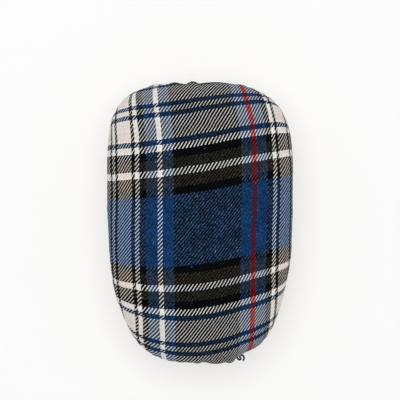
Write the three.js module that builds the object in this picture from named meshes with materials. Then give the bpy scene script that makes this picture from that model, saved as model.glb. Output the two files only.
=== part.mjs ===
// Tailor's ham: an egg-shaped pressing cushion, packed hard with sawdust.
// A wool cover above and a cotton cover below, each backed by a calico lining, are sewn
// together round the edge with their seam allowances turned in. The gap at the wide end
// through which the ham was turned and filled is closed by hand.
// Millimetres, +Z up. The ham lies on its cotton side with the wide end towards +Y, and the
// origin is on the table below the middle of its length.
import * as THREE from "three";

// Overall form
const LENGTH = 270;
const WIDTH = 178;
const WIDE_END_REACH = 93; // from the widest section to the tip of the wide end, without pleats
const CROWN_HEIGHT = 57; // top of the wool cover above the seam
const SEAM_HEIGHT = 52; // seam above the table
const BASE_SAG = 3; // depth of the cotton side that the table presses flat
const WIDE_END_SQUARENESS = 3.2; // superellipse exponents: 2 is an ellipse, more is blunter
const NARROW_END_SQUARENESS = 2.95;
const SECTION_SQUARENESS = 2;

// Cloth layers
const WOOL_THICKNESS = 1.2;
const COTTON_THICKNESS = 0.9;
const LINING_THICKNESS = 0.5;
const LAYER_GAP = 0.4;

// Seam
const SEAM_GROOVE = 3.5; // how deep the seam is drawn in
const EDGE_ROLL = 5; // from the seam to the fullest line of each cover
const SEAM_ALLOWANCE = 9;
const SEAM_GAP = 0.3; // between the two covers' allowances
const STITCH_INSET = 1.5; // machine stitches, in from the fold of the seam
const EASE_INSET = 6; // easing stitches, in from the fold of the seam
const EASE_LENGTH = 150; // easing stitches round each end
const THREAD_DIAMETER = 0.7;

// Hand-closed gap at the wide end, and the pleats that ease the covers into it
const CLOSING_LENGTH = 98;
const CLOSING_PITCH = 7;
const CLOSING_REACH = 1.4; // the hand stitches, to each side of the seam
const CLOSING_THREAD_DIAMETER = 0.8;
const PLEAT_PITCH = 14;
const PLEATS_PER_SIDE = 3;
const PLEAT_HEIGHT = 1.6;
const PLEAT_FADE = 8; // exponent: pleats die out towards the crown

// Facets
const PLAIN_STATIONS = 42; // round the seam, outside the pleats
const CROWN_STEPS = 7;
const ROLL_STEPS = 2;
const THREAD_SIDES = 5;
const THREAD_STEP = 12; // along a machine-sewn thread
const CLOSING_STEPS_PER_STITCH = 6;

const WIDEST_Y = LENGTH / 2 - PLEAT_HEIGHT - WIDE_END_REACH;
const NARROW_END_REACH = LENGTH / 2 + WIDEST_Y;
const QUARTER_TURN = Math.PI / 2;

// Depth of each layer's face below the outside of its cover
const LAYERS = {
  top: layerDepths(WOOL_THICKNESS),
  under: layerDepths(COTTON_THICKNESS),
};

function layerDepths(coverThickness) {
  const liningOuter = coverThickness + LAYER_GAP;
  const liningInner = liningOuter + LINING_THICKNESS;
  return { coverInner: coverThickness, liningOuter, liningInner, filling: liningInner + LAYER_GAP };
}

// Plan outline along the fullest line of the edge, anticlockwise from the wide end's tip.
class EggOutline extends THREE.Curve {
  constructor() {
    super();
    this.arcLengthDivisions = 720;
  }

  getPoint(t, target = new THREE.Vector2()) {
    const angle = QUARTER_TURN + t * 2 * Math.PI;
    const across = Math.cos(angle);
    const along = Math.sin(angle);
    const reach = along >= 0 ? WIDE_END_REACH : NARROW_END_REACH;
    const squareness = along >= 0 ? WIDE_END_SQUARENESS : NARROW_END_SQUARENESS;
    const sum = Math.abs((2 * across) / WIDTH) ** squareness + Math.abs(along / reach) ** squareness;
    const radius = sum ** (-1 / squareness);
    return target.set(radius * across, WIDEST_Y + radius * along);
  }
}

const outline = new EggOutline();
const PERIMETER = outline.getLength();

// A place on the outline at a distance from the wide end's tip, with its outward direction.
function outlineAt(distance) {
  const share = THREE.MathUtils.euclideanModulo(distance / PERIMETER, 1);
  const tangent = outline.getTangentAt(share);
  return { point: outline.getPointAt(share), outward: new THREE.Vector2(tangent.y, -tangent.x) };
}

// How far the outside of a cover stands out in folds at a distance from the wide end's tip.
function pleatHeight(distance) {
  if (Math.abs(distance) >= PLEATS_PER_SIDE * PLEAT_PITCH) return 0;
  return (PLEAT_HEIGHT * (1 - Math.cos((2 * Math.PI * distance) / PLEAT_PITCH))) / 2;
}

// Stations round the seam: one on each crest and valley of the pleats, the rest evenly spaced.
function seamStations() {
  const gathered = PLEATS_PER_SIDE * PLEAT_PITCH;
  const pleatSteps = 4 * PLEATS_PER_SIDE;
  const distances = [];
  for (let i = 0; i < pleatSteps; i++) distances.push(-gathered + (i * PLEAT_PITCH) / 2);
  for (let i = 0; i < PLAIN_STATIONS; i++) {
    distances.push(gathered + (i * (PERIMETER - 2 * gathered)) / PLAIN_STATIONS);
  }
  return distances.map((distance) => ({ ...outlineAt(distance), pleat: pleatHeight(distance) }));
}

const STATIONS = seamStations();
const CENTRE = new THREE.Vector2(0, WIDEST_Y);

// One point of a meridian: share runs from the crown, 0, to the edge, 1, and inset is measured
// in from the outline.
function place({ share, inset, z }, station) {
  const edge = station.point.clone().addScaledVector(station.outward, -inset);
  const plan = CENTRE.clone().lerp(edge, share);
  return new THREE.Vector3(plan.x, plan.y, z);
}

// Face of a layer from the crown to the fold of the seam, at a depth below the cover's outside.
// side is 1 for the wool side and -1 for the cotton side, which the table flattens.
function panelFace(depth, side, pleat = 0, foldHeight = depth + SEAM_GAP / 2) {
  const fullHeight = side > 0 ? CROWN_HEIGHT : SEAM_HEIGHT + BASE_SAG;
  const dome = fullHeight - EDGE_ROLL - depth;
  const flatDome = side > 0 ? dome : SEAM_HEIGHT - EDGE_ROLL - depth;
  const power = 2 / SECTION_SQUARENESS;
  const firstAngle = Math.acos((flatDome / dome) ** (1 / power));
  const face = [];
  if (side < 0) face.push({ share: 0, inset: depth, z: depth });
  for (let i = 0; i <= CROWN_STEPS; i++) {
    const angle = firstAngle + ((QUARTER_TURN - firstAngle) * i) / CROWN_STEPS;
    const share = Math.sin(angle) ** power;
    face.push({
      share,
      inset: depth - pleat * share ** PLEAT_FADE,
      z: SEAM_HEIGHT + side * (EDGE_ROLL + dome * Math.max(Math.cos(angle), 0) ** power),
    });
  }
  for (let i = 1; i <= ROLL_STEPS; i++) {
    const turn = (QUARTER_TURN * i) / ROLL_STEPS;
    face.push({
      share: 1,
      inset: depth + (SEAM_GROOVE - depth) * (1 - Math.cos(turn)) - pleat * Math.cos(turn),
      z: SEAM_HEIGHT + side * (EDGE_ROLL - (EDGE_ROLL - foldHeight) * Math.sin(turn)),
    });
  }
  return face;
}

// Closed surface through one profile per station, each from its upper pole to its lower one.
function loftRound(profileOf) {
  const rings = STATIONS.map((station) => profileOf(station).map((p) => place(p, station)));
  const ringCount = rings[0].length - 2;
  const vertices = [rings[0][0], rings[0].at(-1)];
  for (const ring of rings) vertices.push(...ring.slice(1, -1));
  const at = (station, k) => 2 + (station % rings.length) * ringCount + k;
  const index = [];
  for (let i = 0; i < rings.length; i++) {
    index.push(0, at(i, 0), at(i + 1, 0));
    for (let k = 0; k < ringCount - 1; k++) {
      index.push(at(i, k), at(i, k + 1), at(i + 1, k + 1));
      index.push(at(i, k), at(i + 1, k + 1), at(i + 1, k));
    }
    index.push(1, at(i + 1, ringCount - 1), at(i, ringCount - 1));
  }
  const geometry = new THREE.BufferGeometry().setFromPoints(vertices);
  geometry.setIndex(index);
  geometry.computeVertexNormals();
  return geometry;
}

// Cloth panel between two depths, with its seam allowance turned in flat from the fold.
function clothPanel(outerDepth, innerDepth, side) {
  const allowanceEnd = SEAM_GROOVE + SEAM_ALLOWANCE;
  return loftRound(({ pleat }) => {
    const outer = panelFace(outerDepth, side, outerDepth === 0 ? pleat : 0);
    const inner = panelFace(innerDepth, side);
    const rawEdge = [outer, inner].map((face) => ({ share: 1, inset: allowanceEnd, z: face.at(-1).z }));
    const fromOutside = [...outer, ...rawEdge, ...inner.reverse()];
    return side > 0 ? fromOutside : fromOutside.reverse();
  });
}

// Height above or below the seam of a thread lying on the lining's allowance.
function threadHeight(side) {
  const depths = side > 0 ? LAYERS.top : LAYERS.under;
  return depths.liningInner + SEAM_GAP / 2 + LAYER_GAP + THREAD_DIAMETER / 2;
}

// Packed sawdust: fills the linings and closes round the allowances and their threads.
function fillingSolid() {
  const slotEnd = SEAM_GROOVE + SEAM_ALLOWANCE + LAYER_GAP;
  const slotHeight = (side) => threadHeight(side) + THREAD_DIAMETER / 2 + LAYER_GAP;
  const [upper, lower] = [1, -1].map((side) => {
    const depth = (side > 0 ? LAYERS.top : LAYERS.under).filling;
    const face = panelFace(depth, side, 0, slotHeight(side));
    return [...face, { share: 1, inset: slotEnd, z: face.at(-1).z }];
  });
  const profile = [...upper, ...lower.reverse()];
  return loftRound(() => profile);
}

// Round thread along a curve, with closed ends.
function threadAlong(points, diameter, steps) {
  const section = new THREE.Shape();
  for (let i = 0; i < THREAD_SIDES; i++) {
    const angle = (2 * Math.PI * i) / THREAD_SIDES;
    const [x, y] = [(diameter / 2) * Math.cos(angle), (diameter / 2) * Math.sin(angle)];
    if (i === 0) section.moveTo(x, y);
    else section.lineTo(x, y);
  }
  section.closePath();
  const extrudePath = new THREE.CatmullRomCurve3(points);
  return new THREE.ExtrudeGeometry(section, { steps, extrudePath, bevelEnabled: false });
}

// Thread sewn along the allowances between two distances from the wide end's tip.
function sewnThread(from, to, inset, side) {
  const steps = Math.ceil((to - from) / THREAD_STEP);
  const points = [];
  for (let i = 0; i <= steps; i++) {
    const station = outlineAt(from + ((to - from) * i) / steps);
    points.push(place({ share: 1, inset, z: SEAM_HEIGHT + side * threadHeight(side) }, station));
  }
  return threadAlong(points, THREAD_DIAMETER, steps);
}

function machineThread(side) {
  const gapEnd = CLOSING_LENGTH / 2;
  return sewnThread(gapEnd, PERIMETER - gapEnd, SEAM_GROOVE + STITCH_INSET, side);
}

function easeThread(middle, side) {
  return sewnThread(middle - EASE_LENGTH / 2, middle + EASE_LENGTH / 2, SEAM_GROOVE + EASE_INSET, side);
}

// Hand stitches over the closed gap, from one cover's rolled edge to the other and back.
function closingThread() {
  const rollTurn = Math.asin(1 - CLOSING_REACH / EDGE_ROLL);
  const hollow = SEAM_GROOVE * (1 - Math.cos(rollTurn)) - PLEAT_HEIGHT * Math.cos(rollTurn);
  const seat = hollow - LAYER_GAP - CLOSING_THREAD_DIAMETER / 2;
  const stitches = Math.round(CLOSING_LENGTH / CLOSING_PITCH);
  const points = [];
  for (let i = 0; i <= 2 * stitches; i++) {
    const station = outlineAt(((i / (2 * stitches)) - 0.5) * CLOSING_LENGTH);
    const z = SEAM_HEIGHT + (i % 2 ? CLOSING_REACH : -CLOSING_REACH);
    points.push(place({ share: 1, inset: seat, z }, station));
  }
  return threadAlong(points, CLOSING_THREAD_DIAMETER, stitches * CLOSING_STEPS_PER_STITCH);
}

function cloth(color) {
  return new THREE.MeshStandardMaterial({ color, roughness: 0.95, metalness: 0 });
}

const WOOL = cloth(0x3b4759);
const COTTON = cloth(0xddd6c6);
const CALICO = cloth(0xe6dfcf);
const SEWING_THREAD = cloth(0x2a2c33);
const EASING_THREAD = cloth(0xd9d4c8);
const SAWDUST = cloth(0xc8a36b);

const ham = new THREE.Group();

function add(name, geometry, material) {
  const mesh = new THREE.Mesh(geometry, material);
  mesh.name = name;
  ham.add(mesh);
}

add("wool_cover", clothPanel(0, LAYERS.top.coverInner, 1), WOOL);
add("cotton_cover", clothPanel(0, LAYERS.under.coverInner, -1), COTTON);
add("wool_side_lining", clothPanel(LAYERS.top.liningOuter, LAYERS.top.liningInner, 1), CALICO);
add("cotton_side_lining", clothPanel(LAYERS.under.liningOuter, LAYERS.under.liningInner, -1), CALICO);
add("sawdust_filling", fillingSolid(), SAWDUST);
add("seam_needle_thread", machineThread(1), SEWING_THREAD);
add("seam_bobbin_thread", machineThread(-1), SEWING_THREAD);
add("closing_thread", closingThread(), SEWING_THREAD);
for (const [sideName, side] of [["wool", 1], ["cotton", -1]]) {
  add(`${sideName}_ease_thread_wide_end`, easeThread(0, side), EASING_THREAD);
  add(`${sideName}_ease_thread_narrow_end`, easeThread(PERIMETER / 2, side), EASING_THREAD);
}

export default ham;
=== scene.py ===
import math

import bpy
import numpy as np
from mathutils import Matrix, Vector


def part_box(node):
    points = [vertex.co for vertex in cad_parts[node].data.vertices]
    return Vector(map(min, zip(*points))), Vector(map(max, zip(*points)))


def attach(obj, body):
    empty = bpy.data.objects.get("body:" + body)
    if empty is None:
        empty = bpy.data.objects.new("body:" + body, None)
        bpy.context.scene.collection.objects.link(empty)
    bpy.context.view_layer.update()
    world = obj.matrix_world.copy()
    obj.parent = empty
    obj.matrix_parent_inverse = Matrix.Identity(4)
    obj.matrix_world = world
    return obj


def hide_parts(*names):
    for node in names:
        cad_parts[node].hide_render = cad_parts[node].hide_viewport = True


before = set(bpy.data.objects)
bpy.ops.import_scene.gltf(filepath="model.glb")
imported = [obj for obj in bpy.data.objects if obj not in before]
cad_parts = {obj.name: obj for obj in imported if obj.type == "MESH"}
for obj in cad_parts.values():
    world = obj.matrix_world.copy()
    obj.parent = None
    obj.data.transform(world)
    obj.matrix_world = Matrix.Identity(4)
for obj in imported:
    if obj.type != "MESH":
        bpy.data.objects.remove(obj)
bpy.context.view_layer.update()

MM = 0.001
QUARTER_TURN = math.pi / 2
WOOL_SIDE, COTTON_SIDE = 1, -1

# Form, as the solids have it
wool_low, wool_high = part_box("wool_cover")
_, cotton_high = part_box("cotton_cover")
HALF_WIDTH = wool_high.x
SEAM_Z = (wool_low.z + cotton_high.z) / 2
CROWN_HEIGHT = wool_high.z - SEAM_Z
BASE_SAG = 3 * MM
WIDE_REACH = 93 * MM
PLEAT_HEIGHT = 1.6 * MM
CENTRE_Y = wool_high.y - PLEAT_HEIGHT - WIDE_REACH
NARROW_REACH = CENTRE_Y - wool_low.y
WIDE_SQUARENESS_LEFT = 3.65
WIDE_SQUARENESS_RIGHT = 3.3
NARROW_SQUARENESS = 2.95

# Where the edge is less full: direction from the crown's foot and spread in degrees, and how much
SLACK = [(57, 10, 2 * MM), (-75.5, 2.2, 2 * MM)]

# Seam
SEAM_GROOVE = 3.5 * MM
EDGE_ROLL = 5 * MM
SEAM_ALLOWANCE = 9 * MM
FOLD_GAP = 0.15 * MM
WOOL_THICKNESS = 1.2 * MM
COTTON_THICKNESS = 0.9 * MM

# Mesh of a cover, and the steps in which its outline and its cloth are measured
STATIONS = 480
CROWN_ROWS = 110
ROLL_ROWS = 12
ALLOWANCE_ROWS = 3
OUTLINE_STEPS = 7200
ARC_STEPS = 48

# Gathers that ease spare cloth into the seam: where it is most, their heights, and how they vary
WIDE_EASE = 62 * MM
NARROW_EASE = 55 * MM
GATHER_WIDE = 1.4 * MM
GATHER_NARROW = 1.1 * MM
GATHER_SIDES = 0.35 * MM
GATHER_CREST = 6 * MM
GATHER_WIDTH = (7 * MM, 14 * MM)
GATHER_FULLNESS = (0.4, 1)
GATHER_SPACING = (0.8, 1.05)
WOOL_GATHERS_SEED = 5
COTTON_GATHERS_SEED = 6

# The wide end is a little less full on its left than on its right
END_SKEW = 1.1 * MM
SKEW_WIDTH = 15 * MM

# Tucks seen at the ends, in millimetres: place round the seam from the tip, width and height
WIDE_TUCKS = [(43, 17, 1.3), (24.6, 13.5, 2.1), (7.2, 11.5, 2.6), (-13, 30, 0.7)]
NARROW_TUCKS = [(19, 24, 2.2), (31, 13, 3.4)]

# Cloth drawn into the seam, at the tucks and at the narrow end: how much, where and how far up
TUCK_DRAW = 7 * MM
DRAWN_FROM = 2.5 * MM
DRAWN_TO = 36 * MM
DRAWN_SHARPLY = 1.5 * MM
DRAWN_SOFTLY = 10 * MM
NARROW_STRETCH = 5 * MM
NARROW_STRETCHED = 30 * MM
DRAWN_REACH = 22 * MM

# Cloth simulation of the gathers
SETTLING_ROWS = 40
SETTLING_CROWN_STEP = 2
SETTLING_ROLL_STEP = 3
SETTLING_FRAMES = 16
FILLING_PUSH = 0.4
BROAD_WAVES = 7
SETTLING_LIMIT = 1.5 * MM

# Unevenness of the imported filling, the length of its waves in millimetres
LUMP_WAVES = 10
LUMP_LENGTH = (38, 85)
WOOL_LUMPS = 0.35 * MM
WOOL_LUMPS_SEED = 3
COTTON_LUMPS = 0.3 * MM
COTTON_LUMPS_SEED = 8

# Lie of the wool on the ham, in millimetres of cloth from the crown, TILT_GROWTH and END_BOW at FAR
WARP_PITCH = 0.956
WEFT_PITCH = 1.029
WARP_START = 2.65
WEFT_START = -44.4
WARP_LEAN = -4.85
LEAN_LENGTH = 30
LEAN_MIDDLE = 71
FAR = 100
WEFT_TILT = 0.175
TILT_GROWTH = 0.036
TILT_WIDTH_LEFT = 55
TILT_WIDTH_RIGHT = 123
END_BOW = 8
BOW_WIDTH = 80
SAG = 0.95
SAG_MIDDLE = 15
SAG_WIDTH = 35
STRAIGHT_SHARE = 0.41
SIDE_PULL = 2.2
SIDE_PULLED = 75
PULL_POWER = 4
PULL_FROM = 25
PULL_SOFTLY = 15
NARROWING = 0.04
NARROW_FROM_LEFT = -100
NARROW_FROM_RIGHT = -37
NARROW_SOFTLY = 18

# Cotton: threads this many millimetres apart
COTTON_PITCH = 0.6

# Hand stitches that close the filling gap: the row, one stitch, and in millimetres how they vary
CLOSING_LENGTH = 98 * MM
CLOSING_PITCH = 7 * MM
CLOSING_SHIFT = 0.3
STITCH_REACH = 2.4 * MM
STITCH_LEAN = 2.6 * MM
STITCH_RADIUS = 0.35 * MM
STITCH_PROUD = 1 * MM
STITCH_DIVE = 1.92 * MM
DIVE_POWER = 6
HOLLOW_SHARE = 0.55
STITCH_POINTS = 7
PLACE_SPREAD = 0.5
LEAN_SPREAD = 0.4
STITCH_SEED = 11

# Loose yarn end, in millimetres: across, along and height over the seam
TAIL_RADIUS = 0.95 * MM
TAIL_POINTS = [
    (34, -127.5, 0), (36.2, -131.8, 1), (37.8, -133.2, 1.5), (40, -131.6, 2.5), (37.6, -129.6, 4),
    (39, -127.6, 5), (41.8, -128.2, 5), (42.8, -130.8, 4), (41.6, -133.2, 3),
]

# Camera over the ham, as the photograph has it
PHOTO_WIDTH = 0.3857
CAMERA_DISTANCE = 1.5
CAMERA_Y = 0.0212
SENSOR = 36

# Floor and light
FLOOR_SIZE = 8
FLOOR_DROP = 0.2 * MM
FLOOR_GLOW = 0.35
WORLD_LIGHT = 0.6
LAMP_SIZE = 1.6
LAMP_ENERGY = 17
LAMP_PLACE = (-0.05, 0.3, 1.9)


def reach(angle):
    """Plan distance from the crown's foot to the fullest line of the edge."""
    across, along = np.cos(angle), np.sin(angle)
    wide = along >= 0
    length = np.where(wide, WIDE_REACH, NARROW_REACH)
    corner = np.where(across < 0, WIDE_SQUARENESS_LEFT, WIDE_SQUARENESS_RIGHT)
    power = np.where(wide, corner, NARROW_SQUARENESS)
    full = (np.abs(across / HALF_WIDTH) ** power + np.abs(along / length) ** power) ** (-1 / power)
    for direction, spread, amount in SLACK:
        turned = np.cos(angle - math.radians(direction)) - 1
        full = full - amount * np.exp(turned / math.radians(spread) ** 2)
    return full


def seam_stations():
    """Even steps round the outline from the wide end's tip: distance, angle, place, outward."""
    fine = QUARTER_TURN + np.linspace(0, 2 * math.pi, OUTLINE_STEPS + 1)
    points = np.stack([reach(fine) * np.cos(fine), CENTRE_Y + reach(fine) * np.sin(fine)], 1)
    steps = np.linalg.norm(np.diff(points, axis=0), axis=1)
    travelled = np.concatenate([[0], np.cumsum(steps)])
    distance = np.linspace(0, travelled[-1], STATIONS, endpoint=False)
    angle = np.interp(distance, travelled, fine)
    place = np.stack([np.interp(distance, travelled, points[:, k]) for k in (0, 1)], 1)
    ahead = np.roll(place, -1, 0) - np.roll(place, 1, 0)
    ahead /= np.linalg.norm(ahead, axis=1, keepdims=True)
    outward = np.stack([ahead[:, 1], -ahead[:, 0]], 1)
    return distance, angle, place, outward, travelled[-1]


station_distance, station_angle, station_place, station_outward, PERIMETER = seam_stations()
CENTRE = np.array([0, CENTRE_Y])


def profile(side):
    """Meridian rows from the crown to the raw edge: share of reach, inset and height over the seam."""
    dome = (CROWN_HEIGHT if side > 0 else SEAM_Z + BASE_SAG) - EDGE_ROLL
    slope = np.linspace(0, QUARTER_TURN, CROWN_ROWS + 1)
    turn = np.linspace(0, QUARTER_TURN, ROLL_ROWS + 1)[1:]
    turned_in = np.linspace(0, SEAM_ALLOWANCE, ALLOWANCE_ROWS + 1)[1:]
    share = np.concatenate([np.sin(slope), np.ones(ROLL_ROWS + ALLOWANCE_ROWS)])
    inset = np.concatenate([0 * slope, SEAM_GROOVE * (1 - np.cos(turn)), SEAM_GROOVE + turned_in])
    height = np.concatenate([
        EDGE_ROLL + dome * np.cos(slope),
        EDGE_ROLL - (EDGE_ROLL - FOLD_GAP) * np.sin(turn),
        np.full(ALLOWANCE_ROWS, FOLD_GAP),
    ])
    return share, inset, np.minimum(height, SEAM_Z) if side < 0 else height


def cover_grid(side):
    """Points of a smooth cover, rows by stations."""
    share, inset, height = profile(side)
    edge = station_place[None] - inset[:, None, None] * station_outward[None]
    plan = CENTRE + share[:, None, None] * (edge - CENTRE)
    z = np.broadcast_to((SEAM_Z + side * height)[:, None, None], plan.shape[:2] + (1,))
    return np.concatenate([plan, z], 2)


def grid_normals(grid, side):
    """Outward directions of a cover's points."""
    down = np.gradient(grid, axis=0)
    onward = np.roll(grid, -1, 1) - np.roll(grid, 1, 1)
    normal = side * np.cross(down, onward)
    length = np.linalg.norm(normal, axis=2, keepdims=True)
    normal = normal / np.maximum(length, 1e-12)
    normal[0] = (0, 0, side)
    return normal


def round_seam(middle):
    """Signed distance of each station round the seam from a place on it."""
    return (station_distance - middle + PERIMETER / 2) % PERIMETER - PERIMETER / 2


def from_seam(grid):
    """Distance of each row from the fold of the seam, up the cover."""
    steps = np.linalg.norm(np.diff(grid, axis=0), axis=2)
    travelled = np.concatenate([np.zeros((1, grid.shape[1])), np.cumsum(steps, 0)])
    return travelled[CROWN_ROWS + ROLL_ROWS] - travelled


def fold(middle, width):
    """Section of one fold at each station: 1 at its top, 0 at its feet and less beyond them."""
    return 1 - (2 * round_seam(middle) / width) ** 2


def gathers(seed, placed=()):
    """Height at each station of the small folds that ease a cover into its seam."""
    rng = np.random.default_rng(seed)
    height = np.zeros(STATIONS)
    for middle, width, rise in placed:
        height = np.maximum(height, rise * fold(middle, width))
    kept_clear = height > 0
    at = 0
    while at < PERIMETER:
        width = rng.uniform(*GATHER_WIDTH)
        middle = at + width / 2
        full = GATHER_SIDES
        full += GATHER_WIDE * math.exp(-((min(middle, PERIMETER - middle) / WIDE_EASE) ** 2))
        full += GATHER_NARROW * math.exp(-(((PERIMETER / 2 - middle) / NARROW_EASE) ** 2))
        own_color_from = fold(middle, width) * full * rng.uniform(*GATHER_FULLNESS)
        if not kept_clear[own_color_from > 0].any():
            height = np.maximum(height, own_color_from)
        at += width * rng.uniform(*GATHER_SPACING)
    return height


def placed_tucks():
    """The tucks of both ends, in metres round the seam."""
    return [
        (tip + at * MM, width * MM, rise * MM)
        for tip, tucks in ((0, WIDE_TUCKS), (PERIMETER / 2, NARROW_TUCKS))
        for at, width, rise in tucks
    ]


def folds_above(grid, height):
    """The gathers carried up the cover from its seam, dying away."""
    away = np.maximum(from_seam(grid), 0) / GATHER_CREST
    return height[None] * away * np.exp(1 - away)


def settled(grid, normal, relief):
    """The folds after the cloth, held at its seam, has settled over the filling's push."""
    rows = np.concatenate([
        np.arange(CROWN_ROWS - SETTLING_ROWS, CROWN_ROWS, SETTLING_CROWN_STEP),
        np.arange(CROWN_ROWS, CROWN_ROWS + ROLL_ROWS + 1, SETTLING_ROLL_STEP),
    ])
    smooth, out = grid[rows], normal[rows]
    start = smooth + out * relief[rows][..., None]
    ring = np.arange(STATIONS)
    after = np.roll(ring, -1)
    faces = np.concatenate([
        np.stack([low + ring, low + STATIONS + ring, low + STATIONS + after, low + after], 1)
        for low in range(0, (len(rows) - 1) * STATIONS, STATIONS)
    ])
    mesh = bpy.data.meshes.new("settling")
    mesh.from_pydata(start.reshape(-1, 3).tolist(), [], faces.tolist())
    cloth = bpy.data.objects.new("settling", mesh)
    bpy.context.collection.objects.link(cloth)
    held = cloth.vertex_groups.new(name="held")
    held.add([*ring.tolist(), *(ring + (len(rows) - 1) * STATIONS).tolist()], 1.0, "REPLACE")

    settings = cloth.modifiers.new("cloth", "CLOTH").settings
    settings.quality = 6
    settings.mass = 0.02
    settings.air_damping = 2
    settings.tension_stiffness = settings.compression_stiffness = 12
    settings.shear_stiffness = 4
    settings.bending_stiffness = 0.02
    settings.vertex_group_mass = "held"
    settings.use_pressure = True
    settings.uniform_pressure_force = FILLING_PUSH
    settings.effector_weights.gravity = 0
    scene = bpy.context.scene
    for step in range(1, SETTLING_FRAMES + 1):
        scene.frame_set(step)
    shape = cloth.evaluated_get(bpy.context.evaluated_depsgraph_get()).to_mesh()
    points = np.zeros(start.size, dtype=np.float32)
    shape.vertices.foreach_get("co", points)
    bpy.data.objects.remove(cloth)
    bpy.data.meshes.remove(mesh)
    scene.frame_set(1)

    change = ((points.reshape(start.shape) - start) * out).sum(2)
    waves = np.fft.rfft(change, axis=1)
    waves[:, :BROAD_WAVES] = 0
    change = np.clip(np.fft.irfft(waves, n=STATIONS, axis=1), -SETTLING_LIMIT, SETTLING_LIMIT)
    every = np.arange(len(grid))
    return relief + np.stack([np.interp(every, rows, line, left=0, right=0) for line in change.T], 1)


def lumps(grid, seed):
    """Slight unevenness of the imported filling."""
    rng = np.random.default_rng(seed)
    total = np.zeros(grid.shape[:2])
    for _ in range(LUMP_WAVES):
        direction = rng.normal(size=3)
        wave = direction / np.linalg.norm(direction) * 2 * math.pi / (rng.uniform(*LUMP_LENGTH) * MM)
        total += np.sin(grid @ wave + rng.uniform(0, 2 * math.pi))
    return total / math.sqrt(LUMP_WAVES)


def dome_height(x, y):
    """Height of the wool side over the seam at a plan place."""
    away = np.hypot(x, y - CENTRE_Y)
    share = np.clip(away / reach(np.arctan2(y - CENTRE_Y, x)), 0, 1)
    return EDGE_ROLL + (CROWN_HEIGHT - EDGE_ROLL) * np.sqrt(1 - share**2)


def arc_length(x_from, y_from, x_to, y_to):
    """Length over the wool side of straight plan lines."""
    total = np.zeros(np.shape(x_to))
    x, y = x_from, y_from
    z = dome_height(x, y)
    for i in range(1, ARC_STEPS + 1):
        x_next = x_from + (x_to - x_from) * i / ARC_STEPS
        y_next = y_from + (y_to - y_from) * i / ARC_STEPS
        z_next = dome_height(x_next, y_next)
        total += np.sqrt((x_next - x) ** 2 + (y_next - y) ** 2 + (z_next - z) ** 2)
        x, y, z = x_next, y_next, z_next
    return total


def cloth_places(grid):
    """Where each point of the wool cover lies on its cloth, across and along, from the crown."""
    crown = grid[: CROWN_ROWS + 1]
    x, y = crown[..., 0], crown[..., 1]
    middle = np.full_like(y, CENTRE_Y)
    fanned = arc_length(0 * x, middle, x, y) * np.cos(station_angle)
    straight = arc_length(0 * x, y, x, y) * np.sign(x)
    across = (1 - STRAIGHT_SHARE) * fanned + STRAIGHT_SHARE * straight
    along = arc_length(x, middle, x, y) * np.sign(y - CENTRE_Y)
    away = from_seam(grid)
    beyond = away[CROWN_ROWS] - away[CROWN_ROWS + 1:]
    across = np.concatenate([across, across[-1] + beyond * station_outward[:, 0]])
    along = np.concatenate([along, along[-1] + beyond * station_outward[:, 1]])
    return across, along


def tuck_draw(grid):
    """How far the cloth near the seam is drawn towards the narrow end: into the seam at both ends."""
    tip = round_seam(0)
    wide = np.tanh((tip - DRAWN_FROM) / DRAWN_SHARPLY) - np.tanh((tip - DRAWN_TO) / DRAWN_SOFTLY)
    narrow = np.exp(-((round_seam(PERIMETER / 2) / NARROW_STRETCHED) ** 2))
    drawn = NARROW_STRETCH * narrow - TUCK_DRAW / 2 * wide
    return drawn[None] * np.exp(-((from_seam(grid) / DRAWN_REACH) ** 2))


def wool_threads(grid):
    """Warp and weft thread counts at each point of the wool cover."""
    across, along = (value / MM for value in cloth_places(grid))
    along = along + tuck_draw(grid) / MM
    pulled = (1 + np.tanh((along - PULL_FROM) / PULL_SOFTLY)) / 2
    across = across + SIDE_PULL * pulled * (np.maximum(across, 0) / SIDE_PULLED) ** PULL_POWER
    narrow_from = np.where(across < 0, NARROW_FROM_LEFT, NARROW_FROM_RIGHT)
    across = across * (1 + NARROWING * (1 + np.tanh((narrow_from - along) / NARROW_SOFTLY)) / 2)
    lean = WARP_LEAN * np.tanh((along - LEAN_MIDDLE) / LEAN_LENGTH)
    width = np.where(across < 0, TILT_WIDTH_LEFT, TILT_WIDTH_RIGHT)
    tilt = (WEFT_TILT + TILT_GROWTH * along / FAR) * width * np.tanh(across / width)
    bow = np.sign(along) * END_BOW * (across / BOW_WIDTH * along / FAR) ** 2
    sag = SAG * np.exp(-(((across - SAG_MIDDLE) / SAG_WIDTH) ** 2))
    warp = (across - WARP_START - lean) / WARP_PITCH
    weft = (along - WEFT_START - tilt + bow + sag) / WEFT_PITCH
    return np.stack([warp, weft], 2)


def cotton_threads(grid):
    """Warp and weft thread counts at each point of the cotton cover."""
    away = from_seam(grid)
    reach_out = (away[0] - away) / MM
    direction = np.stack([np.cos(station_angle), np.sin(station_angle)], 1)
    return reach_out[..., None] * direction / COTTON_PITCH


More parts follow.
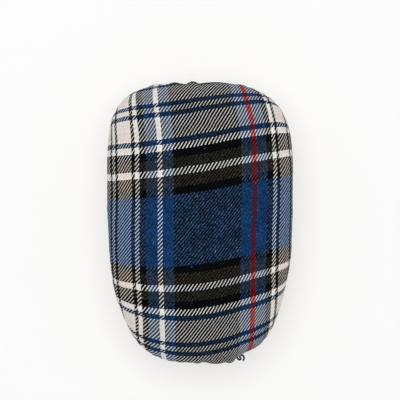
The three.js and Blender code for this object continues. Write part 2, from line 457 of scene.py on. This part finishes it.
def cover_object(name, grid, uv, side, thickness):
    """Closed cloth cover from a grid of points whose first row is the crown."""
    rows, stations = grid.shape[:2]
    vertices = np.concatenate([grid[:1, 0], grid[1:].reshape(-1, 3)])
    uv_at = np.concatenate([uv[:1, 0], uv[1:].reshape(-1, 2)])
    faces = []
    for k in range(stations):
        after = (k + 1) % stations
        faces.append((0, 1 + k, 1 + after))
        for row in range(rows - 2):
            start = 1 + row * stations
            low = start + stations
            faces.append((start + k, low + k, low + after, start + after))
    if side < 0:
        faces = [face[::-1] for face in faces]
    mesh = bpy.data.meshes.new(name)
    mesh.from_pydata(vertices.tolist(), [], faces)
    layer = mesh.uv_layers.new(name="threads")
    corners = np.zeros(len(mesh.loops), dtype=np.int32)
    mesh.loops.foreach_get("vertex_index", corners)
    layer.data.foreach_set("uv", uv_at[corners].astype(np.float32).ravel())
    mesh.polygons.foreach_set("use_smooth", np.ones(len(mesh.polygons), dtype=bool))
    cover = bpy.data.objects.new(name, mesh)
    bpy.context.collection.objects.link(cover)
    shell = cover.modifiers.new("cloth", "SOLIDIFY")
    shell.thickness = thickness
    shell.offset = -1
    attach(cover, "root")
    return cover


def linear(red, green, blue):
    """Scene-linear colour of an sRGB one written 0 to 255."""
    def channel(value):
        value /= 255
        return value / 12.92 if value <= 0.04045 else ((value + 0.055) / 1.055) ** 2.4
    return (channel(red), channel(green), channel(blue), 1)


# How sharply the blue and the red yarns are told from the others
BLUE_GAIN = 8
RED_GAIN = -6


class Shader:
    """Short way to write nodes of a material or world: values are sockets, numbers or tuples."""

    def __init__(self, owner):
        owner.use_nodes = True
        self.owner = owner
        self.nodes = owner.node_tree.nodes
        self.links = owner.node_tree.links

    def put(self, value, socket):
        if isinstance(value, bpy.types.NodeSocket):
            self.links.new(value, socket)
        else:
            socket.default_value = value

    def math(self, operation, *values, clamp=False):
        node = self.nodes.new("ShaderNodeMath")
        node.operation = operation
        node.use_clamp = clamp
        for value, socket in zip(values, node.inputs):
            self.put(value, socket)
        return node.outputs[0]

    def mix(self, factor, first, second, blend="MIX"):
        node = self.nodes.new("ShaderNodeMix")
        node.data_type = "RGBA"
        node.blend_type = blend
        for value, name in ((factor, "Factor_Float"), (first, "A_Color"), (second, "B_Color")):
            self.put(value, next(s for s in node.inputs if s.identifier == name))
        return next(s for s in node.outputs if s.identifier == "Result_Color")

    def tint(self, color, cast):
        """One colour seen through another."""
        return self.mix(1.0, color, cast, "MULTIPLY")

    def toned(self, color, tone):
        """A colour made darker or brighter by a value."""
        return self.tint(color, self.vector(tone, tone, tone))

    def vector(self, x, y, z):
        node = self.nodes.new("ShaderNodeCombineXYZ")
        for value, socket in zip((x, y, z), node.inputs):
            self.put(value, socket)
        return node.outputs[0]

    def noise(self, vector, scale, detail=2, roughness=0.5):
        node = self.nodes.new("ShaderNodeTexNoise")
        self.put(vector, node.inputs["Vector"])
        self.put(scale, node.inputs["Scale"])
        self.put(detail, node.inputs["Detail"])
        self.put(roughness, node.inputs["Roughness"])
        return node.outputs["Fac"]

    def cloth_noise(self, u, v, layer, **look):
        """Noise over the cloth, not the same on any two layers."""
        return self.noise(self.vector(u, v, layer), **look)

    def wave(self, vector, scale, direction, distortion=0):
        node = self.nodes.new("ShaderNodeTexWave")
        node.bands_direction = direction
        self.put(vector, node.inputs["Vector"])
        self.put(scale, node.inputs["Scale"])
        self.put(distortion, node.inputs["Distortion"])
        return node.outputs["Fac"]

    def random(self, value):
        node = self.nodes.new("ShaderNodeTexWhiteNoise")
        node.noise_dimensions = "1D"
        self.put(value, node.inputs["W"])
        return node.outputs["Value"]

    def centred(self, value):
        """A 0 to 1 value set about nought."""
        return self.math("SUBTRACT", value, 0.5)

    def span(self, value, low, high):
        """A 0 to 1 value set between two others."""
        return self.math("MULTIPLY_ADD", value, high - low, low)

    def hump(self, value, clamp=True):
        """Rise from 0 to 1 and back again as a value goes from 0 to 1."""
        side = self.math("MULTIPLY_ADD", value, 2, -1)
        return self.math("SUBTRACT", 1, self.math("MULTIPLY", side, side), clamp=clamp)

    def ease(self, value, low, high):
        """Soft step from 0 to 1 between two values."""
        node = self.nodes.new("ShaderNodeMapRange")
        node.interpolation_type = "SMOOTHSTEP"
        self.put(value, node.inputs["Value"])
        self.put(low, node.inputs["From Min"])
        self.put(high, node.inputs["From Max"])
        return node.outputs["Result"]

    def choose(self, factor, first, second):
        """One value where the factor is 0, the other where it is 1."""
        node = self.nodes.new("ShaderNodeMix")
        for value, socket in zip((factor, first, second), (node.inputs[0], *node.inputs[2:4])):
            self.put(value, socket)
        return node.outputs[0]

    def counted(self, factor, stops):
        """Straight runs from 0 to 1 through (position, share) stops."""
        node = self.nodes.new("ShaderNodeValToRGB")
        for position, share in stops:
            node.color_ramp.elements.new(position).color = (share, share, share, 1)
        self.put(factor, node.inputs["Fac"])
        return node.outputs["Color"]

    def striped(self, thread, sett):
        """Colour of each thread, by its count from the start of the repeat."""
        total = sum(count for _, count, _ in sett)
        place = self.math("FLOORED_MODULO", self.math("ADD", thread, 0.5), total)
        color, edge, _ = sett[0]
        for yarn, count, _ in sett[1:]:
            color = self.mix(self.math("GREATER_THAN", place, edge), color, yarn)
            edge += count
        return color

    def grey(self, color):
        node = self.nodes.new("ShaderNodeRGBToBW")
        self.put(color, node.inputs[0])
        return node.outputs[0]

    def bluer_redder(self, color):
        """One for the blue yarn and one for the red, nought for the other colours."""
        node = self.nodes.new("ShaderNodeSeparateColor")
        self.put(color, node.inputs[0])
        more = self.math("SUBTRACT", node.outputs[2], node.outputs[0])
        return tuple(self.math("MULTIPLY", more, gain, clamp=True) for gain in (BLUE_GAIN, RED_GAIN))

    def uv(self):
        node = self.nodes.new("ShaderNodeUVMap")
        node.uv_map = "threads"
        parts = self.nodes.new("ShaderNodeSeparateXYZ")
        self.links.new(node.outputs["UV"], parts.inputs[0])
        return parts.outputs[0], parts.outputs[1]

    def place(self):
        return self.nodes.new("ShaderNodeTexCoord").outputs["Object"]

    def seen(self):
        """One for rays that show a thing or its reflection, nought for those that only light others."""
        path = self.nodes.new("ShaderNodeLightPath")
        rays = path.outputs["Is Camera Ray"]
        for name in ("Is Glossy Ray", "Is Transmission Ray"):
            rays = self.math("MAXIMUM", rays, path.outputs[name])
        return rays

    def join(self, factor, first, second, output):
        """Two shaders at the output, the second where the factor is 1."""
        node = self.nodes.new("ShaderNodeMixShader")
        for value, socket in zip((factor, first.outputs[0], second.outputs[0]), node.inputs):
            self.put(value, socket)
        self.links.new(node.outputs[0], self.nodes[output].inputs["Surface"])

    def bump(self, height, distance, strength):
        node = self.nodes.new("ShaderNodeBump")
        self.put(height, node.inputs["Height"])
        self.put(distance, node.inputs["Distance"])
        self.put(strength, node.inputs["Strength"])
        self.links.new(node.outputs["Normal"], self.nodes["Principled BSDF"].inputs["Normal"])

    def set(self, **values):
        surface = self.nodes["Principled BSDF"]
        for name, value in values.items():
            self.put(value, surface.inputs[name.replace("_", " ").title().replace("Ior", "IOR")])


# Yarns of the wool
BLACK = linear(5, 6, 8)
BLUE = linear(22, 58, 102)
WHITE = linear(247, 239, 231)
OLIVE = linear(43, 44, 35)
BROWN = linear(49, 43, 36)
RED = linear(153, 19, 31)

# The narrow stripes' blue is deeper and their white is clearer
FINE_BLUE = linear(13, 47, 78)
FINE_WHITE = linear(253, 249, 245)

# Warp stripes out from the ground stripe, in threads and their thickness
WARP_GROUND = (BLACK, 72, 0.93)
WARP_RIGHT = [(BLUE, 12, 0.92), (RED, 5, 1), (BLUE, 13, 0.92), (BLACK, 7, 1)]
WARP_LEFT = [(BLUE, 12, 0.92), (FINE_WHITE, 5, 1), (BLUE, 13, 0.92), (BLACK, 7, 1)]
WARP_PALE_RIGHT = [(FINE_WHITE, 5, 1), (BLACK, 4, 1), (WHITE, 15, 1.2), (BLACK, 4, 1)]
WARP_PALE_LEFT = [(FINE_WHITE, 5, 1), (BLACK, 4, 1), (WHITE, 20, 0.9), (BLACK, 4, 1)]
WARP_PIVOT = (FINE_WHITE, 5, 1)
WARP_SETT = [
    WARP_GROUND, *WARP_RIGHT, *WARP_PALE_RIGHT, WARP_PIVOT, *WARP_PALE_LEFT[::-1], *WARP_LEFT[::-1],
]

# Weft stripes out from the ground stripe, in the same way
WEFT_GROUND = (BLUE, 68, 0.97)
WEFT_EDGE = [
    (BLACK, 7, 1), (BROWN, 11, 1), (FINE_WHITE, 5, 1.25), (OLIVE, 9, 1.06), (BLACK, 7, 1.08),
    (FINE_WHITE, 5, 1.28), (FINE_BLUE, 5, 1.03), (WHITE, 20, 1.12), (FINE_BLUE, 5, 1.03),
]
WEFT_PIVOT = (WHITE, 5, 1.1)
WEFT_SETT = [WEFT_GROUND, *WEFT_EDGE, WEFT_PIVOT, *WEFT_EDGE[::-1]]

# How far the yarns lie from straight lines, in threads, and the scale of it
SWAY = 1.6
SWAY_SCALE = 0.06
WOBBLE = 0.3
WOBBLE_SCALE = 0.7

# Twill: threads in its repeat and passed over, its ribs' slant and unevenness, height of a yarn's dip
TWILL_REPEAT = 4
TWILL_OVER = 2
RIB_SLANT = 0.7
RIB_UNEVENNESS = 0.5
FLOAT_DIP = 0.45

# Fibres to a thread's width and to its length, and their share of the relief
FIBRES_ACROSS = 7
FIBRES_ALONG = 1.2
FIBRE_RELIEF = 0.5
WOOL_RELIEF = 0.35 * MM

# Soft steps of brightness that tell the yarns apart
BROWN_STEP = (0.005, 0.02)
BLACK_STEP = (0.005, 0.03)
PALE_STEP = (0.045, 0.1)
DARK_STEP = (0.05, 0.1)
WHITE_STEP = (0.2, 0.5)
BOTH_PALE_STEP = (0.3, 0.5)
FINE_STEP = (0.89, 0.94)

# Light that pale yarns keep between dark ones, and blue ones between pale ones
NO_CAST = (1, 1, 1, 1)
BLACK_CAST = (0.92, 0.96, 1, 1)
BROWN_CAST = (1, 0.95, 0.9, 1)
RED_CAST = (0.9, 0.72, 0.8, 1)
BLUE_CAST_WEFT = (0.71, 0.85, 1.05, 1)
BLUE_CAST_WARP = (0.59, 0.8, 1.1, 1)
FINE_CLEARNESS = 0.5
BLUE_FADED = (0.062, 0.08, 0.092, 1)
BLUE_ON_BLACK = (1.1, 1, 0.86, 1)

# How much blue fades beside a pale weft and beside a pale warp, and how blue and brown dull each other
BLUE_FADING = (0.65, 0.12)
DULLING = 0.7
DULLED_TO_WEFT = 0.8

# How far the edges of a pale weft's and a pale warp's floats take the darker yarn's colour, between
# black and between blue, partly its fibres over them and partly painted shade, and what changes it
WEFT_DARK_EDGE = (0.31, 0.16)
WARP_DARK_EDGE = (0.3, 0.32)
RED_DARK_EDGE = 0.2
FINE_DARK_EDGE = -0.06

# How softly a rib ends, on dark cloth and on pale
RIB_SOFTNESS = (0.3, 0.5)

# Fibres that stray over dark cloth, pale fuzz with painted sheen on the middles of its ribs, and flecks
# of lint
STRAY_FIBRES = 0.8
STRAY_STEP = (0.5, 0.68)
FUZZ_AND_SHEEN = 0.08
FUZZ_AND_SHEEN_STEP = (0.35, 0.75)
FUZZ_AND_SHEEN_COLOR = linear(240, 240, 205)
LINT = 0.3
LINT_STEP = (0.81, 0.87)
LINT_COLOR = linear(225, 225, 215)

# Least and most tone: patches and wear of dark cloth, painted shade and highlight across its ribs, nap
# of pale cloth, painted shade at the yarns' edges by their height, fibre, yarn
PATCH_TONE = (-1.6, 3.5)
PATCH_LEAST = 0.2
WEAR_TONE = (0.46, 1.46)
RIB_SHADE_AND_HIGHLIGHT = (0.7, 1.45)
PALE_NAP_TONE = (0.85, 1.15)
YARN_EDGE_SHADE = (0.62, 1.06)
FIBRE_TONE = (0.7, 1.3)
YARN_TONE = (0.88, 1.1)

# Sets the chance tones of the warp's yarns apart from those of the weft's
WARP_APART = 0.37


def swayed(s, u, v):
    """Thread counts of cloth whose yarns lie a little uneven."""
    sway_u = s.centred(s.cloth_noise(u, v, 0, scale=SWAY_SCALE, detail=1))
    sway_v = s.centred(s.cloth_noise(v, u, 7, scale=SWAY_SCALE, detail=1))
    u = s.math("MULTIPLY_ADD", sway_u, SWAY, u)
    v = s.math("MULTIPLY_ADD", sway_v, SWAY, v)
    wobble = s.centred(s.cloth_noise(u, v, 3, scale=WOBBLE_SCALE, detail=1))
    return s.math("MULTIPLY_ADD", wobble, WOBBLE, u), s.math("MULTIPLY_ADD", wobble, -WOBBLE, v)


def threads_passed(s, value, sett):
    """Threads counted over the cloth, where thick ones take more room, from the ground's first one."""
    total = sum(count for _, count, _ in sett)
    length = sum(count * thickness for _, count, thickness in sett)
    position, counted, stops = 0, 0, []
    for _, count, thickness in sett[:-1]:
        position += count * thickness
        counted += count
        stops.append((position / length, counted / total))
    _, count, thickness = sett[0]
    repeats = s.math("DIVIDE", s.math("ADD", value, count * thickness / 2), length)
    share = s.counted(s.math("FRACT", repeats), stops)
    return s.math("MULTIPLY", s.math("ADD", s.math("FLOOR", repeats), share), total)


class Crossing:
    """Two yarns that cross: their colours, and from 0 to 1 how pale, white, blue or brown they are."""

    def __init__(self, s, warp, weft):
        self.warp, self.weft = warp, weft
        self.darker = s.mix(1.0, warp, weft, "DARKEN")
        self.lighter = s.mix(1.0, warp, weft, "LIGHTEN")
        dark, light = s.grey(self.darker), s.grey(self.lighter)
        self.pale_warp = s.math("GREATER_THAN", s.grey(warp), s.grey(weft))
        self.pale = s.ease(light, *PALE_STEP)
        self.white = s.ease(light, *WHITE_STEP)
        self.fine = s.ease(light, *FINE_STEP)
        self.black = s.math("SUBTRACT", 1, s.ease(dark, *BLACK_STEP))
        self.brown = s.ease(dark, *BROWN_STEP)
        self.none_dark = s.ease(dark, *DARK_STEP)
        self.blue, red = s.bluer_redder(self.darker)
        self.red = s.math("SUBTRACT", red, s.ease(dark, *BOTH_PALE_STEP), clamp=True)
        self.lighter_blue, _ = s.bluer_redder(self.lighter)


def crossing_colors(s, c, top):
    """Colours of the yarn on top and of the one beside it."""
    # Pale yarns take on some of the hue of dark ones, blue ones fade among white ones
    fading = s.math("MULTIPLY", c.blue, s.span(c.pale_warp, *BLUE_FADING))
    shade = s.mix(fading, c.darker, s.tint(c.lighter, BLUE_FADED))
    cast = s.mix(c.brown, BLACK_CAST, BROWN_CAST)
    cast = s.mix(c.none_dark, cast, NO_CAST)
    cast = s.mix(c.blue, cast, s.mix(c.pale_warp, BLUE_CAST_WEFT, BLUE_CAST_WARP))
    cast = s.mix(c.red, cast, RED_CAST)
    cast = s.mix(s.math("MULTIPLY", c.fine, FINE_CLEARNESS), cast, NO_CAST)
    tinted = s.mix(c.white, top, s.tint(top, cast))
    shaded = s.mix(c.white, top, shade)
    on_top = s.mix(s.ease(s.grey(top), *PALE_STEP), shaded, tinted)
    color = s.mix(c.pale, top, on_top)
    beside = s.mix(c.pale, c.lighter, shade)

    # Blue warp and brown weft dull each other
    dull = s.math("MULTIPLY", s.math("SUBTRACT", c.brown, c.blue, clamp=True), c.lighter_blue)
    dull = s.math("MULTIPLY", dull, DULLING)
    dulled = s.mix(DULLED_TO_WEFT, c.warp, c.weft)
    return s.mix(dull, color, dulled), s.mix(dull, beside, dulled)


def tartan():
    """Woollen 2/2 twill, its yarns coloured by the sett."""
    s = Shader(bpy.data.materials.new("tartan_wool"))
    u, v = swayed(s, *s.uv())
    u, v = threads_passed(s, u, WARP_SETT), threads_passed(s, v, WEFT_SETT)
    end, pick = s.math("FLOOR", u), s.math("FLOOR", v)
    in_end, in_pick = s.math("FRACT", u), s.math("FRACT", v)
    step = s.math("FLOORED_MODULO", s.math("SUBTRACT", end, pick), TWILL_REPEAT)
    slant = s.math("MULTIPLY_ADD", s.math("SUBTRACT", in_end, in_pick), RIB_SLANT, 0.5)
    rib = s.math("FLOORED_MODULO", s.math("ADD", step, slant), TWILL_REPEAT)
    middle = s.math("PINGPONG", rib, 1)
    warp_up = s.math("LESS_THAN", rib, TWILL_OVER)

    # Round yarns that dip at the ends of their floats, and the fibres in them
    def yarn_height(across, along):
        dip = s.hump(s.math("DIVIDE", along, TWILL_OVER), clamp=False)
        return s.math("MULTIPLY", s.math("SQRT", s.hump(across)), s.span(dip, FLOAT_DIP, 1))

    along_warp = s.math("SUBTRACT", s.math("ADD", 1, in_pick), step)
    along_weft = s.math("ADD", s.math("SUBTRACT", step, TWILL_OVER), in_end)
    height = s.choose(warp_up, yarn_height(in_pick, along_weft), yarn_height(in_end, along_warp))
    across_u, across_v = (s.math("MULTIPLY", value, FIBRES_ACROSS) for value in (u, v))
    along_u, along_v = (s.math("MULTIPLY", value, FIBRES_ALONG) for value in (u, v))
    warp_fibre = s.cloth_noise(across_u, along_v, 0, scale=1)
    weft_fibre = s.cloth_noise(along_u, across_v, 5, scale=1)
    fibre = s.choose(warp_up, weft_fibre, warp_fibre)
    yarn = s.choose(warp_up, s.random(pick), s.random(s.math("ADD", end, WARP_APART)))

    # Edges of pale floats between dark ones take the darker yarn's colour, partly its fibres over them
    # and partly painted shade; their ribs uneven
    c = Crossing(s, s.striped(end, WARP_SETT), s.striped(pick, WEFT_SETT))
    top = s.mix(warp_up, c.weft, c.warp)
    color, beside = crossing_colors(s, c, top)
    uneven = s.centred(s.cloth_noise(u, v, 11, scale=0.9, roughness=0.6))
    inside = s.math("MULTIPLY_ADD", uneven, RIB_UNEVENNESS, middle)
    depth = s.choose(c.pale_warp, s.span(c.blue, *WEFT_DARK_EDGE), s.span(c.blue, *WARP_DARK_EDGE))
    depth = s.math("MULTIPLY_ADD", c.red, RED_DARK_EDGE, depth)
    # The pale floats' edges take the darker yarn's colour: partly its fibres over them, partly painted
    # shade
    dark_edge_to = s.math("MULTIPLY", c.pale, s.math("MULTIPLY_ADD", c.fine, FINE_DARK_EDGE, depth))
    own_color_from = s.math("ADD", dark_edge_to, s.span(c.pale, *RIB_SOFTNESS))
    color = s.mix(s.ease(inside, dark_edge_to, own_color_from), beside, color)

    # On dark cloth the fibres of either yarn stray over the other
    stray = s.cloth_noise(u, v, 29, scale=0.55, roughness=0.6)
    straying = s.span(c.pale, STRAY_FIBRES, 0)
    for yarn_color, over in ((c.warp, stray), (c.weft, s.math("SUBTRACT", 1, stray))):
        color = s.mix(s.math("MULTIPLY", s.ease(over, *STRAY_STEP), straying), color, yarn_color)

    # Nap over the cloth, with pale fuzz and painted sheen on the ribs' middles where blue lies on
    # black, and lint
    nap = s.cloth_noise(u, v, 17, scale=0.6, detail=3, roughness=0.7)
    top_blue, _ = s.bluer_redder(top)
    over_black = s.math("MULTIPLY", top_blue, c.black)
    # Painted sheen with pale fuzz: a pale lift on the middles of the blue ribs that lie over black
    fuzz_and_sheen = s.math("MULTIPLY", over_black, s.span(c.pale, FUZZ_AND_SHEEN, 0))
    fuzz_and_sheen = s.math("MULTIPLY", s.math("MULTIPLY", fuzz_and_sheen, middle), s.ease(nap, *FUZZ_AND_SHEEN_STEP))
    color = s.mix(over_black, color, s.tint(color, BLUE_ON_BLACK))
    color = s.mix(fuzz_and_sheen, color, FUZZ_AND_SHEEN_COLOR)
    lint = s.ease(s.cloth_noise(u, v, 23, scale=0.35, detail=0), *LINT_STEP)
    color = s.mix(s.math("MULTIPLY", lint, LINT), color, LINT_COLOR)

    # Tone, more varied on dark cloth, with painted shade and highlight across its ribs and painted
    # shade at every yarn's edges
    patchy = s.math("MAXIMUM", s.span(nap, *PATCH_TONE), PATCH_LEAST)
    worn = s.span(s.cloth_noise(u, v, 31, scale=0.07), *WEAR_TONE)
    # Painted shade and highlight: dark cloth darker at its ribs' edges and brighter on their middles
    dark_tone = s.math("MULTIPLY", s.span(middle, *RIB_SHADE_AND_HIGHLIGHT), s.math("MULTIPLY", patchy, worn))
    tone = s.choose(c.pale, dark_tone, s.span(nap, *PALE_NAP_TONE))
    # Painted shade at each yarn's edges and where it dips under, from its height
    rounded = s.math("MULTIPLY", s.span(height, *YARN_EDGE_SHADE), s.span(fibre, *FIBRE_TONE))
    tone = s.math("MULTIPLY", s.math("MULTIPLY", tone, rounded), s.span(yarn, *YARN_TONE))
    s.set(base_color=s.toned(color, tone), roughness=0.95, specular_ior_level=0.03)
    s.set(sheen_weight=0.02, sheen_roughness=0.5)
    relief = s.math("ADD", height, s.math("MULTIPLY", fibre, FIBRE_RELIEF))
    s.bump(relief, distance=WOOL_RELIEF, strength=0.8)
    return s.owner


# Cotton: shades of its ground, flecks of husk, slubs to a thread's width and length, relief, and how
# deep its threads dip, which also sets painted shade at their edges
COTTON_SHADES = (linear(222, 211, 188), linear(234, 226, 207))
HUSK_COLOR = linear(120, 92, 60)
HUSK = 0.55
HUSK_FROM = 0.73
SLUBS_ACROSS = 0.45
SLUBS_ALONG = 0.03
SLUB_RELIEF = 0.6
COTTON_RELIEF = 0.18 * MM
COTTON_DIP = 0.35


def cotton():
    """Unbleached plain weave with slubs and flecks of husk."""
    s = Shader(bpy.data.materials.new("natural_cotton"))
    u, v = s.uv()
    end, pick = s.math("FLOOR", u), s.math("FLOOR", v)
    over = s.math("FLOORED_MODULO", s.math("ADD", end, pick), 2)
    humps = [s.span(s.hump(s.math("FRACT", value)), COTTON_DIP, 1) for value in (u, v)]
    rounded = s.math("MULTIPLY", *humps)
    across_u, across_v = (s.math("MULTIPLY", value, SLUBS_ACROSS) for value in (end, pick))
    along_u, along_v = (s.math("MULTIPLY", value, SLUBS_ALONG) for value in (u, v))
    slub_u = s.cloth_noise(across_u, along_v, 0, scale=1)
    slub_v = s.cloth_noise(along_u, across_v, 4, scale=1)
    slub = s.choose(over, slub_u, slub_v)
    # Painted shade at the threads' edges, from their rounding, and the slubs' tone
    tone = s.math("MULTIPLY", s.span(rounded, 0.8, 1.04), s.span(slub, 0.62, 1.38))
    color = s.toned(s.mix(s.cloth_noise(u, v, 0, scale=0.015), *COTTON_SHADES), tone)
    flecks = s.cloth_noise(u, v, 9, scale=0.34, detail=3, roughness=0.7)
    husk = s.math("GREATER_THAN", flecks, HUSK_FROM)
    color = s.mix(s.math("MULTIPLY", husk, HUSK), color, HUSK_COLOR)
    s.set(base_color=color, roughness=0.88, specular_ior_level=0.3)
    s.set(sheen_weight=0.08, sheen_roughness=0.5)
    s.bump(s.math("MULTIPLY_ADD", slub, SLUB_RELIEF, rounded), distance=COTTON_RELIEF, strength=0.7)
    return s.owner


def thread(name, color):
    """Spun sewing thread: plies wound round it and fine fibre."""
    s = Shader(bpy.data.materials.new(name))
    place = s.place()
    plies = s.wave(place, scale=900, direction="DIAGONAL")
    fibre = s.noise(place, scale=2600)
    # Painted shade in the grooves between the plies, and fibre tone
    tone = s.math("MULTIPLY", s.span(plies, 0.7, 1.1), s.span(fibre, 0.8, 1.2))
    s.set(base_color=s.toned(color, tone), roughness=0.75, sheen_weight=0.1)
    s.bump(plies, distance=0.1 * MM, strength=0.6)
    return s.owner


def calico():
    """Plain lining cloth, woven in object space."""
    s = Shader(bpy.data.materials.new("calico"))
    place = s.place()
    weave = [s.wave(place, scale=520, direction=axis, distortion=0.6) for axis in ("X", "Y")]
    relief = s.math("MULTIPLY", *weave)
    mottle = s.noise(place, scale=60, detail=3)
    # Painted shade in the weave's hollows, and mottle
    tone = s.math("MULTIPLY", s.span(relief, 0.85, 1.05), s.span(mottle, 0.92, 1.08))
    s.set(base_color=s.toned(linear(229, 220, 200), tone), roughness=0.9)
    s.bump(relief, distance=0.12 * MM, strength=0.6)
    return s.owner


def sawdust():
    """Packed wood dust with paler and darker flakes."""
    s = Shader(bpy.data.materials.new("sawdust"))
    place = s.place()
    voronoi = s.nodes.new("ShaderNodeTexVoronoi")
    s.put(place, voronoi.inputs["Vector"])
    s.put(900, voronoi.inputs["Scale"])
    flakes = voronoi.outputs["Distance"]
    grain = s.noise(place, scale=1800, detail=3)
    color = s.mix(flakes, linear(221, 184, 128), linear(150, 105, 58))
    s.set(base_color=s.mix(grain, color, linear(236, 208, 160)), roughness=0.97)
    s.bump(s.math("ADD", flakes, grain), distance=0.4 * MM, strength=0.8)
    return s.owner


def floor_paper():
    """White paper that looks bright to the eye yet keeps the ham's shadow."""
    s = Shader(bpy.data.materials.new("floor"))
    s.set(base_color=linear(252, 252, 252), roughness=0.9, specular_ior_level=0.1)
    glow = s.nodes.new("ShaderNodeEmission")
    share = s.math("MULTIPLY", s.seen(), FLOOR_GLOW)
    s.join(share, s.nodes["Principled BSDF"], glow, "Material Output")
    return s.owner


def wool_cover():
    """The tartan cover in place of its solid. Its folds at the seam are handed on to the cotton's."""
    grid = cover_grid(WOOL_SIDE)
    normal = grid_normals(grid, WOOL_SIDE)
    tip = round_seam(0)
    skew = -END_SKEW * np.tanh(tip / SKEW_WIDTH) * np.exp(-((tip / WIDE_EASE) ** 2))
    folds = gathers(WOOL_GATHERS_SEED, placed_tucks())
    relief = settled(grid, normal, folds_above(grid, folds))
    relief += folds_above(grid, skew) + WOOL_LUMPS * lumps(grid, WOOL_LUMPS_SEED)
    points = grid + normal * relief[..., None]
    uv = wool_threads(grid)
    wool = cover_object("wool_cover_cloth", points, uv, WOOL_SIDE, WOOL_THICKNESS)
    wool.data.materials.append(tartan())
    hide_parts("wool_cover")
    return folds


def cotton_cover(wool_folds):
    """The plain cover in place of its solid, flat underneath, its folds no higher than the wool's."""
    grid = cover_grid(COTTON_SIDE)
    normal = grid_normals(grid, COTTON_SIDE)
    folds = np.minimum(gathers(COTTON_GATHERS_SEED), wool_folds)
    relief = settled(grid, normal, folds_above(grid, folds))
    relief += COTTON_LUMPS * lumps(grid, COTTON_LUMPS_SEED)
    points = grid + normal * relief[..., None]
    points[..., 2] = np.maximum(points[..., 2], 0)
    uv = cotton_threads(grid)
    plain = cover_object("cotton_cover_cloth", points, uv, COTTON_SIDE, COTTON_THICKNESS)
    plain.data.materials.append(cotton())
    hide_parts("cotton_cover")


def yarn_curve(name, splines, radius, material):
    """Round yarn along smooth runs of points, one piece."""
    curve = bpy.data.curves.new(name, "CURVE")
    curve.dimensions = "3D"
    curve.bevel_depth = radius
    curve.bevel_resolution = 3
    curve.use_fill_caps = True
    for points in splines:
        spline = curve.splines.new("NURBS")
        spline.points.add(len(points) - 1)
        spline.points.foreach_set("co", np.column_stack([points, np.ones(len(points))]).ravel())
        spline.order_u = 4
        spline.use_endpoint_u = True
        spline.resolution_u = 6
    piece = bpy.data.objects.new(name, curve)
    bpy.context.collection.objects.link(piece)
    curve.materials.append(material)
    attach(piece, "root")
    return piece


def edge_point(along, inset, height):
    """Place near the seam: distance round from the wide end's tip, inset and height over the seam."""
    at = along % PERIMETER
    place, out = (
        [np.interp(at, station_distance, values[:, k], period=PERIMETER) for k in (0, 1)]
        for values in (station_place, station_outward)
    )
    return [place[0] - inset * out[0], place[1] - inset * out[1], SEAM_Z + height]


def closing_stitches(material):
    """Slanted hand stitches over the closed filling gap."""
    rng = np.random.default_rng(STITCH_SEED)
    count = round(CLOSING_LENGTH / CLOSING_PITCH)
    splines = []
    for i in range(count):
        start = (i + CLOSING_SHIFT - count / 2) * CLOSING_PITCH
        start += rng.uniform(-PLACE_SPREAD, PLACE_SPREAD) * MM
        lean = STITCH_LEAN + rng.uniform(-LEAN_SPREAD, LEAN_SPREAD) * MM
        run = []
        for t in np.linspace(0, 1, STITCH_POINTS):
            side = 2 * t - 1
            height = STITCH_REACH * side
            hollow = SEAM_GROOVE * (1 - math.sqrt(1 - (1 - abs(height) / EDGE_ROLL) ** 2))
            inset = HOLLOW_SHARE * hollow - STITCH_PROUD + STITCH_DIVE * abs(side) ** DIVE_POWER
            run.append(edge_point(start + lean * t, inset, height))
        splines.append(run)
    piece = yarn_curve("closing_stitches", splines, STITCH_RADIUS, material)
    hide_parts("closing_thread")


def yarn_tail(material):
    """Loose yarn end that curls out of the seam at the narrow end."""
    strand = [(x * MM, y * MM, SEAM_Z + up * MM) for x, y, up in TAIL_POINTS]
    yarn_curve("loose_yarn_end", [strand], TAIL_RADIUS, material)


def dress_nodes(dark, pale):
    """Procedural materials on the solids."""
    finishes = {"lining": calico(), "filling": sawdust(), "ease": pale}
    for name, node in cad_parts.items():
        material = next((finish for word, finish in finishes.items() if word in name), dark)
        node.data.materials.clear()
        node.data.materials.append(material)


def lay_floor():
    """Pale floor just under the ham."""
    bpy.ops.mesh.primitive_plane_add(size=FLOOR_SIZE, location=(0, 0, -FLOOR_DROP))
    floor = bpy.context.object
    floor.name = "floor"
    floor.data.materials.append(floor_paper())


def light_studio():
    """Soft light from all round, seen as white, and one broad lamp above."""
    world = bpy.data.worlds.new("studio")
    bpy.context.scene.world = world
    s = Shader(world)
    light, seen = s.nodes["Background"], s.nodes.new("ShaderNodeBackground")
    for background, strength in ((light, WORLD_LIGHT), (seen, 1)):
        s.put((1, 1, 1, 1), background.inputs["Color"])
        s.put(strength, background.inputs["Strength"])
    s.join(s.seen(), light, seen, "World Output")

    lamp_data = bpy.data.lights.new("key", "AREA")
    lamp_data.shape = "DISK"
    lamp_data.size = LAMP_SIZE
    lamp_data.energy = LAMP_ENERGY
    lamp = bpy.data.objects.new("key", lamp_data)
    bpy.context.collection.objects.link(lamp)
    lamp.location = LAMP_PLACE
    lamp.rotation_euler = (-lamp.location).to_track_quat("-Z", "Y").to_euler()


def place_camera():
    """Camera straight over the ham."""
    camera_data = bpy.data.cameras.new("camera")
    camera_data.sensor_width = SENSOR
    camera_data.lens = SENSOR * CAMERA_DISTANCE / PHOTO_WIDTH
    camera = bpy.data.objects.new("camera", camera_data)
    bpy.context.collection.objects.link(camera)
    camera.location = (0, CAMERA_Y, SEAM_Z + CAMERA_DISTANCE)
    bpy.context.scene.camera = camera
    bpy.context.scene.view_settings.view_transform = "Standard"


cotton_cover(wool_cover())
dark_thread = thread("sewing_thread", linear(38, 40, 48))
pale_thread = thread("easing_thread", linear(217, 211, 199))
dress_nodes(dark_thread, pale_thread)
closing_stitches(dark_thread)
yarn_tail(thread("tail_yarn", linear(14, 21, 36)))
lay_floor()
light_studio()
place_camera()
